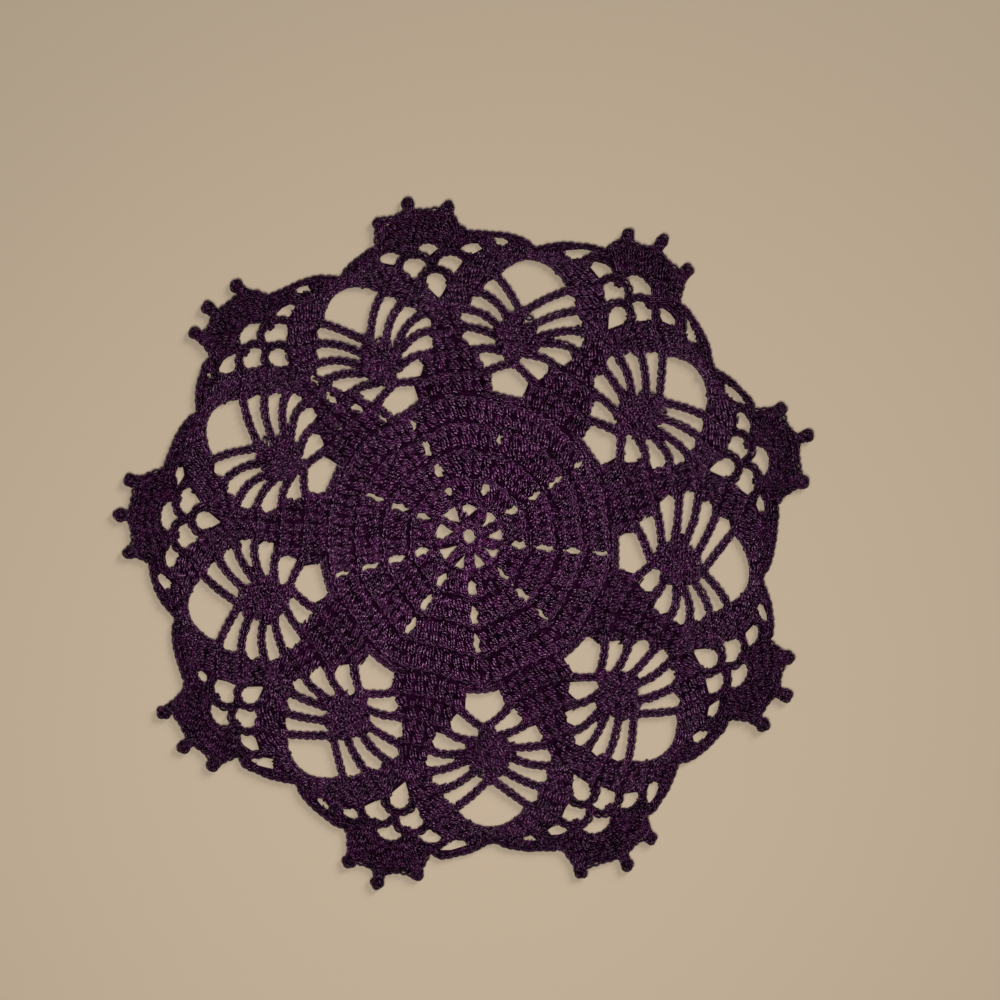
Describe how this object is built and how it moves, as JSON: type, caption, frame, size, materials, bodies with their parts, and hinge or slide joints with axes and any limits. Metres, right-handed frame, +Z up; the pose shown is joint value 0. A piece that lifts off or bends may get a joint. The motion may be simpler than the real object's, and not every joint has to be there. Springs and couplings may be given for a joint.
{
  "type": "lace doily",
  "caption": "Flat round crocheted table doily: solid middle, ring of oval spider motifs, small lattices and picot shells round the scalloped edge.",
  "frame": {"origin": "middle of the doily's outline seen from above, on the flat underside that lies on the table", "axes": "+Z up from the table, +Y away from the viewer who looks down on it, +X to the viewer's right"},
  "size_m": [0.1814, 0.1794, 0.0025],
  "materials": {
    "cotton": "dark purple mercerised cotton thread, soft sheen"
  },
  "bodies": {
    "root": {"doily": "cotton"}
  },
  "joints": []
}
